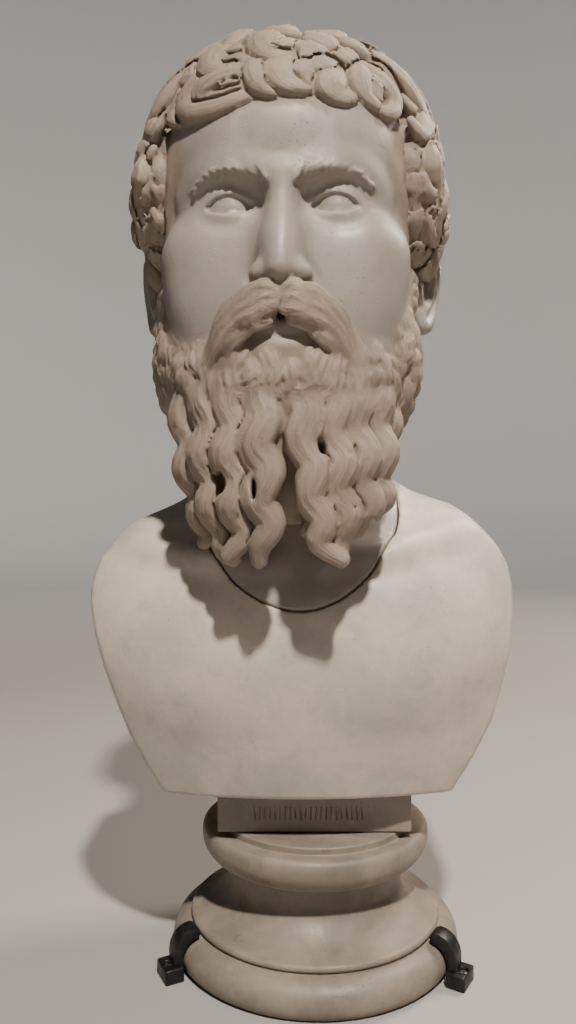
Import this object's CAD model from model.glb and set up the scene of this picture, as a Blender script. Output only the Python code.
"""A white marble portrait bust of a bearded man, on its tablet and turned socle.

The head, chest and socle are three blocks of marble. Two black clips, each with its screw, hold the
foot of the socle. The head and the chest are carved as grids of signed distances, negative inside the
stone. The tablet, socle, clips and screws are modelled with Blender's own operators.
"""

import math

import bpy
import numpy as np
import openvdb
from mathutils import Matrix, Vector


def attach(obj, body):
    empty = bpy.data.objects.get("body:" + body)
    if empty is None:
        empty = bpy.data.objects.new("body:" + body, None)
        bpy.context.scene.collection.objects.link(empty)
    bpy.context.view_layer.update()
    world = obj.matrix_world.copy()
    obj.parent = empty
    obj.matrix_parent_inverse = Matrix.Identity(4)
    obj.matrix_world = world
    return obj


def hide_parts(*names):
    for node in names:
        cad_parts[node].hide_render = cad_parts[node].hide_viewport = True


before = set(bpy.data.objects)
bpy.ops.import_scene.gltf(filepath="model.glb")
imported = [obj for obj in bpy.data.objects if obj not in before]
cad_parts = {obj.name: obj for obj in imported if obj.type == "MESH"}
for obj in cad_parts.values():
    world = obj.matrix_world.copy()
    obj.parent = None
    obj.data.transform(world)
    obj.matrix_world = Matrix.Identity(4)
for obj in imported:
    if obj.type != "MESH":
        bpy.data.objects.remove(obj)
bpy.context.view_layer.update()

bl_info = {
    "name": "Marble portrait bust",
    "version": (1, 0, 0),
    "blender": (4, 5, 0),
    "location": "View3D > Sidebar > Bust",
    "description": "Carves a marble bust, its socle and its retaining clips",
    "category": "Add Mesh",
}

MM = 0.001


# Sizes in millimetres, in the object's frame: the face looks along -Y, and +X is the viewer's right

LEAN_ANGLE = math.radians(-2.5)  # the chest and neck lean to the viewer's left, from this foot
LEAN_FOOT = (-5.0, 0.0, 130.0)
HEAD_AT = (-19.0, -30.0, 503.0)  # between the ears, at the height of the eyes
HEAD_TURN = math.radians(-3)

TORSO = {
    "ribs": ((0, -8, 232), (172, 75, 100)),
    "waist": ((0, 6, 160), (170, 70, 150)),
    "breast": ((58, -56, 232), (60, 26, 44)),
    "shoulder": ((107, -2, 272), (47, 46, 42)),
    "collarbone": ((20, -72, 284, 6), (66, -66, 290, 7), (112, -36, 296, 7)),
    "trapezius": ((28, 18, 344, 22), (108, 8, 286, 20)),
    "neck": ((0, 4, 290, 56), (0, -6, 440, 56)),
}
TONGUE = {"at": (0, -24, 316), "size": (71, 88, 84)}
SEAM = 0.9  # how far the neck's socket is wider than its tongue
CHANNEL = 1.2  # how wide the drill cut round each lock
CHANNEL_FLOOR = 0.35  # how far below a lock's middle the drill went, in its radii
STRAND_FADE = 0.9  # how far from a lock's ends its strands fade out, in its radii
FAR = 100  # further from the stone than any form reaches
LOCK_FAR = 50  # further from a lock than its window reaches
SKIN = 6  # beyond this distance from its surface a stone's grid is level
MARGIN = 2  # how far a form's window reaches past the width that it melts over
HOLLOW_REACH = {"hollow_fine": 2.6, "hollow_wide": 8.0}  # how far around a point its hollow is measured


# Forms: signed distances on a grid of points

def egg(x, y, z, at, size):
    """An egg of three radii, with distances that are true near its surface."""
    px, py, pz = ((p - c) / s for p, c, s in zip((x, y, z), at, size))
    outward = np.sqrt(px * px + py * py + pz * pz)
    slope = np.sqrt((px / size[0]) ** 2 + (py / size[1]) ** 2 + (pz / size[2]) ** 2)
    return outward * (outward - 1) / np.maximum(slope, 1e-6)


def strand(x, y, z, points):
    """A rounded run of points, each with its radius."""
    nearest = None
    for (ax, ay, az, ar), (bx, by, bz, br) in zip(points, points[1:]):
        dx, dy, dz = bx - ax, by - ay, bz - az
        t = ((x - ax) * dx + (y - ay) * dy + (z - az) * dz) / (dx * dx + dy * dy + dz * dz)
        t = np.clip(t, 0, 1)
        away = np.sqrt((x - ax - t * dx) ** 2 + (y - ay - t * dy) ** 2 + (z - az - t * dz) ** 2)
        away = away - (ar + t * (br - ar))
        nearest = away if nearest is None else np.minimum(nearest, away)
    return nearest


def melt(a, b, width):
    """Two forms as one, with the fold between them filled over a width."""
    h = np.maximum(width - np.abs(a - b), 0) / width
    return np.minimum(a, b) - h * h * width / 4


def carve(form, tool, width):
    """A form without a tool's shape, with its new edges rounded over a width."""
    return -melt(-form, tool, width)


def both_sides(at, size):
    return [(at, size), ((-at[0], *at[1:]), size)]


def both_strands(points):
    return [tuple(points), tuple((-p[0], *p[1:]) for p in points)]


def stray(n):
    """A repeatable stray between -1 and 1 for the nth of anything."""
    wave = math.sin(n * 12.9898) * 43758.5453
    return 2 * (wave - math.floor(wave)) - 1


def moved(points, matrix):
    return points @ np.array(matrix.to_3x3()).T + np.array(matrix.translation)


def vertex_values(mesh, key):
    values = np.empty(len(mesh.vertices) * 3, dtype=np.float32)
    mesh.vertices.foreach_get(key, values)
    return values.reshape(-1, 3)


def keep_values(mesh, label, values, kind="FLOAT"):
    """Keeps a number or a vector at each vertex, for the materials."""
    attribute = mesh.attributes.new(label, kind, "POINT")
    attribute.data.foreach_set("value" if kind == "FLOAT" else "vector", values.astype(np.float32).ravel())


class Stone:
    """A block of stone: a grid of signed distances, with where its hair is and how its locks run."""

    def __init__(self, low, high, step):
        self.step = step
        self.axes = [np.arange(a, b + step, step, dtype=np.float32) for a, b in zip(low, high)]
        shape = [len(a) for a in self.axes]
        self.form = np.full(shape, FAR, dtype=np.float32)
        self.hair = np.zeros(shape, dtype=np.float32)
        self.run = np.zeros([3] + shape, dtype=np.float32)  # across and along a lock, and which lock
        self.locks = 0

    def corner(self):
        return np.array([a[0] for a in self.axes])

    def window(self, low, high):
        """The cells between two corners, and their places along each axis."""
        cut = []
        for axis, a, b in zip(self.axes, low, high):
            first = max(0, int((a - axis[0]) / self.step))
            cut.append(slice(first, max(first + 1, int((b - axis[0]) / self.step) + 2)))
        x, y, z = np.ix_(*(axis[c] for axis, c in zip(self.axes, cut)))
        return tuple(cut), x, y, z

    def everywhere(self):
        return self.window([a[0] for a in self.axes], [a[-1] for a in self.axes])

    def egg_in_window(self, at, size, width):
        low = [c - s - width - MARGIN for c, s in zip(at, size)]
        high = [c + s + width + MARGIN for c, s in zip(at, size)]
        cut, x, y, z = self.window(low, high)
        return cut, egg(x, y, z, at, size)

    def strand_in_window(self, points, width):
        reach = max(p[3] for p in points) + width + MARGIN
        low = [min(p[i] for p in points) - reach for i in range(3)]
        high = [max(p[i] for p in points) + reach for i in range(3)]
        cut, x, y, z = self.window(low, high)
        return cut, strand(x, y, z, points)

    def melt_egg(self, at, size, width, hair=False):
        self.lay(*self.egg_in_window(at, size, width), width, hair)

    def melt_strand(self, points, width, hair=False):
        self.lay(*self.strand_in_window(points, width), width, hair)

    def carve_egg(self, at, size, width):
        self.take(*self.egg_in_window(at, size, width), width)

    def carve_strand(self, points, width):
        self.take(*self.strand_in_window(points, width), width)

    def take(self, cut, tool, width):
        self.form[cut] = carve(self.form[cut], tool, width)

    def lay(self, cut, form, width, hair=False):
        old = self.form[cut]
        self.hair[cut] = np.where(form < old + 1, 1.0 if hair else 0.0, self.hair[cut])
        self.form[cut] = melt(old, form, width)

    def mesh(self, name, matrix):
        """The surface as a mesh, moved from the stone's own frame by a matrix."""
        grid = openvdb.FloatGrid(3.0)
        grid.copyFromArray(np.clip(self.form, -SKIN, SKIN))
        points, _, quads = grid.convertToPolygons(isovalue=0.0, adaptivity=0.0)
        points, faces = largest_shell(points, quads[:, ::-1])
        mesh = bpy.data.meshes.new(name)
        mesh.vertices.add(len(points))
        mesh.loops.add(faces.size)
        mesh.polygons.add(len(faces))
        placed = moved(points * self.step + self.corner(), matrix)
        mesh.vertices.foreach_set("co", (placed * MM).astype(np.float32).ravel())
        mesh.loops.foreach_set("vertex_index", faces.ravel().astype(np.int32))
        mesh.polygons.foreach_set("loop_start", np.arange(0, faces.size, 4, dtype=np.int32))
        mesh.update(calc_edges=True)
        return mesh

    def measure(self, mesh, matrix):
        """Keeps at each vertex how hollow the stone is, near it and widely, and how its hair runs."""
        where = moved(vertex_values(mesh, "co") / MM, matrix.inverted())
        points = (where - self.corner()) / self.step
        solid = np.clip(0.5 - self.form / (2 * self.step), 0, 1)
        for label, reach in HOLLOW_REACH.items():
            keep_values(mesh, label, self.sample(blurred(solid, int(round(reach / self.step))), points))
        keep_values(mesh, "hair", self.sample(blurred(self.hair, 1), points))
        run = np.stack([self.sample(part, points) for part in self.run], axis=1)
        keep_values(mesh, "strand_run", run, "FLOAT_VECTOR")

    def melt_lock(self, path, wide, strands, depth, width, channel):
        """A lock of strands, flat and tapering, with the channel that the drill ran round it.

        The strands fade out towards both ends, so that a lock ends smooth.
        """
        reach = max(r for _, r, _ in path) * wide + width + channel + MARGIN
        points = np.array([p for p, _, _ in path])
        cut, x, y, z = self.window(points.min(axis=0) - reach, points.max(axis=0) + reach)
        nearest = np.full((x.size, y.size, z.size), LOCK_FAR, dtype=np.float32)
        smooth, beside = nearest.copy(), nearest.copy()
        run = np.zeros([3] + list(nearest.shape), dtype=np.float32)
        self.locks += 1
        run[2] = self.locks
        gone, whole = 0, sum(float(np.linalg.norm(b[0] - a[0])) for a, b in zip(path, path[1:]))
        for (a, ra, out_a), (b, rb, _) in zip(path, path[1:]):
            along = b - a
            length = float(np.linalg.norm(along))
            along = along / length
            out = out_a - along * np.dot(out_a, along)
            out = out / np.linalg.norm(out)
            across = np.cross(along, out)
            near = tuple(slice(*np.searchsorted(axis.ravel(), (low - reach, high + reach)))
                         for axis, low, high in zip((x, y, z), np.minimum(a, b), np.maximum(a, b)))
            px, py, pz = x[near[0]] - a[0], y[:, near[1]] - a[1], z[:, :, near[2]] - a[2]
            s, u, v = (px * way[0] + py * way[1] + pz * way[2] for way in (along, across, out))
            part = np.clip(s, 0, length)
            radius = ra + (rb - ra) * part / length
            fade = np.clip(np.minimum(part + gone, whole - part - gone) / (STRAND_FADE * radius), 0, 1)
            comb = np.abs(np.sin(math.pi / 2 * strands * (u / (radius * wide) + 1)))
            ridge = 1 - depth * fade * (1 - comb)
            plain = np.sqrt((u / wide) ** 2 + v * v + (s - part) ** 2) - radius
            closer = plain < smooth[near]
            for i, value in enumerate((u, part + gone)):
                run[i][near] = np.where(closer, value, run[i][near])
            gone += length
            smooth[near] = np.minimum(smooth[near], plain)
            nearest[near] = np.where(closer, plain + radius * (1 - ridge), nearest[near])
            beside[near] = np.minimum(beside[near], np.where(v > -CHANNEL_FLOOR * radius, plain, LOCK_FAR))
        if channel:
            self.form[cut] = np.maximum(self.form[cut], channel - beside)
        here = (slice(None), *cut)
        self.run[here] = np.where(nearest < self.form[cut] + 1, run, self.run[here])
        self.lay(cut, nearest, width, hair=True)

    def fill_slits(self, width, depth):
        """Fills what a drill of this width can't reach from outside, except for the mouth of each slit."""
        free = self.form > width / 2
        reached = np.zeros_like(free)
        reached[:, :, -1] = free[:, :, -1]
        count = 0
        while count < (count := int(reached.sum())):
            for axis in (2, 1, 0):
                rows, ways = np.moveaxis(reached, axis, 0), np.moveaxis(free, axis, 0)
                for i in range(1, len(rows)):
                    rows[i] |= rows[i - 1] & ways[i]
                for i in reversed(range(len(rows) - 1)):
                    rows[i] |= rows[i + 1] & ways[i]
        for _ in range(round(depth / self.step)):
            for axis in range(3):
                rows = np.moveaxis(reached, axis, 0)
                before = rows.copy()
                rows[1:] |= before[:-1]
                rows[:-1] |= before[1:]
        mouth = blurred(reached.astype(np.float32), 1)
        self.form = np.minimum(self.form, (2 * mouth - 1) * self.step)

    def front(self, x, z):
        """The foremost y of the stone over a point of the front."""
        across, _, up = self.axes
        i, k = (int(round((p - axis[0]) / self.step)) for p, axis in ((x, across), (z, up)))
        row = self.form[i, :, k]
        first = int(np.argmax(row < 0))
        return self.axes[1][first] - self.step * row[first] / (row[first] - row[first - 1])

    def sample(self, values, points):
        """Values at points given in steps of the grid."""
        base = np.floor(points).astype(int)
        base = np.clip(base, 0, np.array(values.shape) - 2)
        part = np.clip(points - base, 0, 1)
        total = np.zeros(len(points))
        for corner in np.ndindex(2, 2, 2):
            weight = np.prod(np.where(corner, part, 1 - part), axis=1)
            index = base + np.array(corner)
            total += weight * values[index[:, 0], index[:, 1], index[:, 2]]
        return total


def largest_shell(points, faces):
    """The faces and points of the largest connected shell: sealed bubbles and crumbs go."""
    label = np.arange(len(points))
    a, b = faces.ravel(), np.roll(faces, -1, axis=1).ravel()
    while True:
        lowest = np.minimum(label[a], label[b])
        before = label.copy()
        np.minimum.at(label, a, lowest)
        np.minimum.at(label, b, lowest)
        label = label[label[label]]
        if (label == before).all():
            break
    shell = np.bincount(label).argmax()
    kept = label == shell
    renumbered = np.cumsum(kept) - 1
    return points[kept], renumbered[faces[kept[faces[:, 0]]]]


def blurred(values, reach):
    """A box blur, twice along each axis."""
    for axis in (0, 1, 2, 0, 1, 2):
        rows = np.moveaxis(values, axis, 0)
        padded = np.concatenate([rows[:1]] * (reach + 1) + [rows] + [rows[-1:]] * reach)
        total = np.cumsum(padded, axis=0, dtype=np.float32)
        values = np.moveaxis((total[2 * reach + 1:] - total[:-2 * reach - 1]) / (2 * reach + 1), 0, axis)
    return values


# The head, in its own frame: its origin is between the ears at the height of the eyes

HEAD_BLOCK, HEAD_STEP = ((-128, -152, -276), (128, 134, 166)), 1.2
HEAD_FACES = 190000
NECK_TOP = -40  # up to here the head's block may hold a part of the torso's neck
HALF = 131  # from the eyes to the crown, and from the eyes to the chin
SCALP = ((0, 12, 28), (103, 116, 113))
CROWN_RADIUS = 110

SKULL = (  # where each form is, how large, and how widely it melts into the rest, as for the eggs below
    ((0, -32, 44), (75, 68, 62), 22),
    ((0, -38, -38), (69, 57, HALF - 38), 26),
    ((0, -44, -86), (58, 48, 44), 20),
)
CRANIUM = ((0, 12, 30), (86, 104, 101), 1)
HAIR_CAP = ((0, 12, 28), (98.5, 110.5, 108.5))
FACE_WINDOW = ((0, -100, -33), (99, 84, 97))
HAIRLINE = {"top": 104, "raised": 0.8}  # the locks over the forehead reach down so far from this height
EAR_WINDOW = ((98, -2, -24), (32, 32, 42))
WHISKERS = ((50, -26, -84), (37, 48, 56))
JOWLS = ((40, -60, -100), (30, 30, 32))
SIDEBURN = ((75, -17, -36), (10, 13, 46))

JAWBONE = ((66, -4, -40, 17), (54, -32, -84, 18), (22, -76, -110, 17))
CHEEKBONE = ((49, -60, -21), (26, 25, 19), 20)
BEFORE_EAR = ((55, -18, -34), (27, 48, 52), 16)
TEMPLE_HAIR = ((82, -16, 38), (19, 34, 52))
CHEEK = ((42, -64, -52), (28, 24, 36), 24)
BROW = ((8, -93, 17, 4.5), (20, -91, 21, 5), (34, -86, 24, 5.2), (48, -77, 22, 5), (60, -64, 13, 4.5))
EYE_SOCKETS = (((33, -99, 2), (20, 14, 13), 12), ((17, -101, 4), (9, 12, 11), 9))
EYE_AT, EYE_RADIUS, EYE_TILT = (32.5, -73.5, 0.5), 15.5, math.radians(4)
LID = {"thick": 2.6, "half": 15, "upper": 6.4, "lower": 4.6, "edge": 1.4, "deep": 4.6}
LID_CREASE = ((16, -91, 5, 1), (23, -95, 11.5, 1.2), (33, -95.5, 14, 1.3), (43, -91, 12.5, 1.2),
              (51, -83, 6, 1))
NOSE = ((0, -92, 16, 5.5), (0, -95, 4, 6), (0, -101, -14, 7), (0, -107.5, -31, 8.2), (0, -109.5, -43, 9))
NOSE_SIDES = ((0, -95, -30), (14, 15, 24), 9)
NOSE_WING = ((11.5, -101, -45), (7.4, 10, 7.6), 5)
WING_CREASE = ((17.5, -98, -35, 0.8), (20.5, -95, -43, 1.1), (18.5, -96, -51, 0.9))
NOSTRIL = ((6.6, -107, -53.5), (3.4, 6.2, 3.4), 3)
UPPER_LIP = ((-25, -90, -79.5, 2), (-15, -96, -76.5, 3.6), (-5, -100, -74.8, 4.2), (0, -99.5, -75.8, 4),
             (5, -100, -74.8, 4.2), (15, -96, -76.5, 3.6), (25, -90, -79.5, 2))
LOWER_LIP = ((-21, -91, -83.5, 2.6), (-10, -97, -86, 4.9), (0, -99, -86.6, 5.4), (10, -97, -86, 4.9),
             (21, -91, -83.5, 2.6))
MOUTH_LINE = ((-26, -92, -80.5, 0.7), (-12, -101, -80, 0.9), (0, -104.5, -81, 0.9), (12, -101, -80, 0.9),
              (26, -92, -80.5, 0.7))
MELT = {  # how widely each strand of the face melts into the rest
    "jawbone": 18, "brow": 12, "lid crease": 4, "nose": 11, "wing crease": 4, "lower lip": 5, "upper lip": 4,
    "mouth line": 2.5,
}

# The ear lies in its own plane: backwards, upwards and outwards from its middle.
EAR_AT, EAR_TURN = (96, 4, -23), math.radians(34)
HELIX = ((-4, 0, 2), (-11, 10, 3), (-11, 24, 3.4), (-2, 33, 3.8), (9, 32, 4), (17, 21, 3.8), (17.5, 4, 3.5),
         (12, -14, 3.3), (3, -27, 5), (-5, -30, 5.4), (-9, -21, 3.2))
ANTIHELIX = ((0, 26, 2.4), (7, 20, 3), (9.5, 10, 3.5), (8, -4, 3.5), (2, -16, 3.2), (-4, -19, 2.6))
TRAGUS = ((-11, -2, 3.6), (-11.5, -11, 4.2))
EAR_FLESH = ((-8, 2, 20), (-2, 4, 26), (5, 8, 24), (10, 12, 16), (-4, -20, 10))
EAR_BOWL = {"at": (-1, 0, 0), "size": (8, 8, 13), "out": 5}

# Locks over the forehead, each drawn by x and z over the scalp, with its radius.
FRONT_LOCKS = (
    (7.5, (-8, 104), (-20, 100), (-34, 96), (-48, 90), (-60, 82), (-68, 74)),
    (7.5, (6, 106), (-2, 99), (-10, 94), (-6, 86), (-14, 80), (-12, 72)),
    (7.5, (24, 104), (18, 97), (22, 89), (12, 83), (16, 75), (10, 68)),
    (7.5, (40, 98), (36, 92), (42, 85), (34, 78), (36, 70)),
    (7.5, (50, 94), (56, 88), (62, 80), (66, 72), (70, 64)),
    (6.5, (-30, 92), (-44, 88), (-56, 82), (-66, 74), (-72, 64), (-70, 56), (-62, 52)),
    (7.0, (-17, 70), (-32, 71), (-37, 65), (-30, 61), (-26, 62)),
    (7.2, (-12, 80), (-30, 77), (-46, 70), (-50, 61), (-42, 55), (-30, 57), (-20, 62)),
    (7.2, (-4, 88), (-28, 86), (-48, 81), (-58, 71), (-60, 60), (-54, 51), (-40, 48), (-26, 52), (-16, 57)),
    (6.2, (-8, 84), (-13, 74), (-13, 64), (-9, 57), (-2, 56), (2, 60)),
    (6.5, (0, 92), (1, 80), (-2, 70), (3, 61), (12, 58), (20, 61), (24, 66)),
    (5.6, (10, 80), (16, 72), (16, 64), (22, 60)),
    (6.5, (18, 88), (27, 77), (26, 68), (34, 63), (40, 66)),
    (6.0, (34, 78), (30, 66), (28, 58), (35, 52), (42, 56), (42, 60)),
    (6.5, (38, 90), (47, 82), (47, 70), (50, 60), (58, 55), (62, 57)),
    (6.0, (52, 84), (57, 76), (56, 66), (62, 58)),
    (6.8, (44, 94), (56, 84), (66, 74), (69, 63), (66, 54), (60, 53)),
)
SIDE_LOCKS = (  # the same, by azimuth and tilt over the scalp
    (8.0, (88, 60), (92, 72), (88, 84), (78, 92), (70, 90)),
    (7.0, (84, 92), (76, 99), (66, 104), (60, 100)),
    (8.0, (36, 34), (48, 40), (58, 48), (63, 58), (57, 64), (51, 60)),
    (8.5, (44, 38), (56, 46), (66, 54), (76, 62), (84, 72), (84, 83), (76, 88), (70, 84)),
    (7.0, (66, 58), (62, 67), (55, 74), (50, 70)),
    (7.0, (72, 66), (68, 76), (60, 84), (54, 80)),
    (6.5, (70, 78), (66, 87), (58, 93), (54, 88)),
    (7.5, (38, 40), (50, 48), (58, 56), (66, 64), (70, 73), (64, 78), (60, 74)),
    (7.5, (78, 84), (70, 90), (66, 97), (70, 104), (76, 103)),
    (7.0, (62, 76), (60, 84), (64, 92), (62, 99)),
    (8.0, (-88, 60), (-92, 72), (-88, 84), (-78, 92), (-70, 90)),
    (7.0, (-84, 92), (-76, 99), (-66, 104), (-60, 100)),
    (8.0, (-34, 34), (-46, 40), (-57, 46), (-63, 55), (-58, 62), (-52, 59)),
    (8.0, (-44, 38), (-56, 45), (-66, 52), (-76, 60), (-83, 70), (-82, 80), (-74, 84), (-69, 79)),
    (7.0, (-66, 56), (-61, 65), (-54, 71), (-49, 66)),
    (7.0, (-72, 64), (-68, 74), (-59, 82), (-53, 77)),
    (6.5, (-70, 76), (-66, 86), (-58, 92), (-54, 86)),
    (7.5, (-46, 46), (-55, 52), (-60, 60), (-68, 66), (-70, 75), (-64, 79), (-60, 76)),
    (7.5, (-76, 82), (-70, 89), (-65, 96), (-68, 104), (-75, 104)),
    (7.0, (-62, 78), (-60, 86), (-64, 93), (-61, 100)),
)
BARE = ((46, 0, 58), (50, 0, 84), (106, 70, 110), (124, 0, 116))  # below a tilt, between two azimuths
ROWS = {"from": 20, "to": 142, "every": 12, "spacing": 23, "top": 46}
WHORL = {"locks": 7, "from": 2, "to": 46, "turn": 1.1, "radius": 7.6, "at": (4, 22)}

BEARD_LOCKS = (  # x at the root, x at the tip, z at the tip
    (-62, -46, -203), (-48, -35, -213), (-31, -22, -211), (-12, -7, -213),
    (14, 27, -212), (30, 41, -207), (44, 54, -196), (57, 61, -184),
)
BEARD = ((2, -60, -116), (62, 46, 76))
BEARD_AXIS = (4, -46)  # its locks face away from this upright line
MOUSTACHE = (
    ((2, -107, -60, 5), (12, -106, -62, 6.4), (24, -101, -68, 7), (36, -93, -80, 7), (45, -84, -100, 6)),
    ((6, -105, -67, 4.5), (18, -102, -72, 5.5), (30, -96, -84, 5), (38, -88, -96, 4)),
)
DRILL = 1.4  # the narrowest that the drill could reach into
LAY = {  # a lock's width to its thickness, its strands and their depth, how widely it melts, and its channel
    "curl": (1.5, 4, 0.1, 1.5, CHANNEL),
    "strands of a curl": (1.35, 4, 0.24, 1.1, 0),
    "beard": (1.16, 4, 0.1, 2.6, CHANNEL),
    "strands of the beard": (1.1, 3, 0.26, 1.3, 0),
    "beard tuft": (1.6, 3, 0.34, 1.0, 0),
    "moustache": (1.4, 2, 0.34, 0.8, 0),
}
TUFTS = {  # the radius that they lie round, tilts, azimuths, spacing, length, radius, seed and its step
    "temples": (36, (18, 150), (-55, 95), 14, 33, 6.0, 300, 50),
    "whiskers": (47, (30, 138), (4, 168), 10.5, 21, 4.2, 500, 100),
    "jowls": (31, (44, 124), (-34, 80), 9, 19, 4, 800, 100),
    "sideburns": (26, (36, 150), (25, 125), 13, 19, 4.2, 1600, 100),
}
BEARD_TUFTS = (55, (22, 70), (-74, 74), 10, 26, 4.6, 1200)
DRILLED = (  # x, z, half width and half height of the holes that the drill left in the beard
    (-35.5, -166, 2.2, 6.5), (-15, -171, 1.6, 6.5), (24, -147, 1.5, 4), (41.5, -151, 2.2, 4),
    (43, -181, 1.6, 3.2), (54, -190, 1.7, 2.4), (6, -176, 2.6, 11),
)


def spline(points, parts=4):
    """A smooth run through points of any width, by Catmull and Rom's rule."""
    points = np.array(points, dtype=float)
    padded = np.concatenate([2 * points[:1] - points[1:2], points, 2 * points[-1:] - points[-2:-1]])
    run = [points[0]]
    for a, b, c, d in zip(padded, padded[1:], padded[2:], padded[3:]):
        for k in range(1, parts + 1):
            t = k / parts
            run.append(b + 0.5 * t * (c - a + t * (2 * a - 5 * b + 4 * c - d + t * (3 * (b - c) + d - a))))
    return np.array(run)


def over(surface, azimuth, tilt, lift):
    """A point over an egg, at an azimuth from the front and a tilt down from its top, and its outward."""
    at, size = surface
    ray = np.array((math.sin(tilt) * math.sin(azimuth), -math.sin(tilt) * math.cos(azimuth), math.cos(tilt)))
    reach = 1 / np.linalg.norm(ray / np.array(size))
    outward = ray / np.array(size) ** 2
    return np.array(at) + ray * (reach + lift), outward / np.linalg.norm(outward)


def taper(s):
    """How thick a lock is from its root, at 0, to its tip, at 1."""
    return (0.72 + 0.42 * math.sin(math.pi * min(1, 1.5 * s + 0.1))) * (1 - 0.45 * s ** 3)


def curl(surface, round_radius, azimuth, tilt, length, radius, heading, bend, lift, steps=14):
    """A comma-shaped lock: it sets off at a heading and curls round as it thins to its end."""
    path = []
    for i in range(steps + 1):
        s = i / steps
        swell = math.sin(math.pi * (0.12 + 0.66 * s))
        point, outward = over(surface, azimuth, tilt, lift * swell - radius / 2)
        path.append((point, radius * taper(s), outward))
        course = heading + bend * s * s
        tilt += math.cos(course) * length / steps / round_radius
        azimuth += math.sin(course) * length / steps / (round_radius * max(0.25, math.sin(tilt)))
    return path


def laid_lock(radius, feet, lift):
    """A lock through feet on the scalp, each with its outward, that rises a little between its ends."""
    path = []
    for i, (foot, outward) in enumerate(feet):
        s = i / (len(feet) - 1)
        rise = lift + 3 * math.sin(math.pi * (0.1 + 0.7 * s))
        path.append((foot + outward * rise, radius * taper(s), outward))
    return path


def parted(path, count, wide, turn):
    """The thinner locks, side by side, that a lock parts into, each with an end of its own."""
    made = []
    steps = len(path) - 1
    share = {2: 0.66, 3: 0.5}[count]
    for k in range(count):
        lane = (2 * k + 1) / count - 1
        last = steps - round((k + turn) % count * 0.12 * steps)
        thin = []
        for i, (point, radius, outward) in enumerate(path[:last + 1]):
            along = path[min(i + 1, steps)][0] - path[max(i - 1, 0)][0]
            across = np.cross(along, outward)
            across /= np.linalg.norm(across)
            s = i / last
            wander = 0.12 * radius * math.sin(7 * s + 2.1 * (k + turn))
            aside = lane * wide * radius * (0.95 - 0.4 * s * s) + wander
            rise = radius * (0.38 - 0.3 * lane * lane + 0.1 * stray(turn + 0.37 * k))
            thin.append((point + across * aside + outward * rise, radius * share * taper(s), outward))
        made.append(thin)
    return made


def out_of_scalp(x, y, z):
    """A point of the scalp, with its outward."""
    place = np.array((x, y, z))
    outward = (place - SCALP[0]) / np.array(SCALP[1]) ** 2
    return place, outward / np.linalg.norm(outward)


def front_lock(radius, *points):
    (cx, cy, cz), (sx, sy, sz) = SCALP
    feet = []
    for x, z in spline(points, 3):
        z = HAIRLINE["top"] - HAIRLINE["raised"] * (HAIRLINE["top"] - z)
        inside = max(0.02, 1 - ((x - cx) / sx) ** 2 - ((z - cz) / sz) ** 2)
        feet.append(out_of_scalp(x, cy - sy * math.sqrt(inside), z))
    return laid_lock(radius, feet, -3)


def side_lock(radius, *points):
    return laid_lock(radius, [over(SCALP, *np.radians(point), 0) for point in spline(points, 3)], 1)


def whorl():
    """Locks that turn outwards from the crown."""
    (cx, cy, cz), (sx, sy, sz) = SCALP
    made = []
    for k in range(WHORL["locks"]):
        feet = []
        for i in range(9):
            away = WHORL["from"] + (WHORL["to"] - WHORL["from"]) * i / 8
            angle = 2 * math.pi * k / WHORL["locks"] + WHORL["turn"] * i / 8 + 0.15 * stray(k)
            x, y = WHORL["at"][0] + away * math.cos(angle), WHORL["at"][1] + away * math.sin(angle)
            inside = 1 - ((x - cx) / sx) ** 2 - ((y - cy) / sy) ** 2
            feet.append(out_of_scalp(x, y, cz + sz * math.sqrt(inside)))
        made.append(laid_lock(WHORL["radius"], feet, -3))
    return made


def temple_curls():
    """Curls over the forms at the temples, which the hairline starts from."""
    return tufts_on_both_sides(TEMPLE_HAIR, *TUFTS["temples"])


def is_hair(azimuth, tilt):
    """Whether a row's lock may start here, away from the face and the ears."""
    return not any(tilt > top and low <= abs(azimuth) < high for top, low, high in BARE)


def hair_curls():
    """The rows from the nape up, the temples, the forehead and the crown, as each lies over the last."""
    low, top = [], []
    n, r, row = 0, 0, ROWS["from"]
    while row <= ROWS["to"]:
        curls = []
        count = max(5, round(2 * math.pi * CROWN_RADIUS * math.sin(math.radians(row)) / ROWS["spacing"]))
        for i in range(count):
            azimuth = 360 * (i + r % 2 / 2 + 0.25 * stray(n)) / count - 180
            if is_hair(azimuth, row):
                curls.append(curl(
                    SCALP, CROWN_RADIUS, math.radians(azimuth), math.radians(row + 3 * stray(n + 0.5)),
                    length=46 + 9 * stray(n + 0.2), radius=7.4 + 1.2 * stray(n + 0.7),
                    heading=0.6 * stray(n + 0.3), bend=3.4 if stray(n + 0.9) > -0.1 else -3.4,
                    lift=5 + 3 * stray(n + 0.4)))
            n += 1
        (top if row <= ROWS["top"] else low).append(curls)
        row += ROWS["every"]
        r += 1
    curls = [lock for row in reversed(low) for lock in row] + temple_curls()
    curls += [side_lock(*lock) for lock in SIDE_LOCKS]
    curls += [front_lock(*lock) for lock in FRONT_LOCKS]
    return curls + [lock for row in reversed(top) for lock in row] + whorl()


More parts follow.
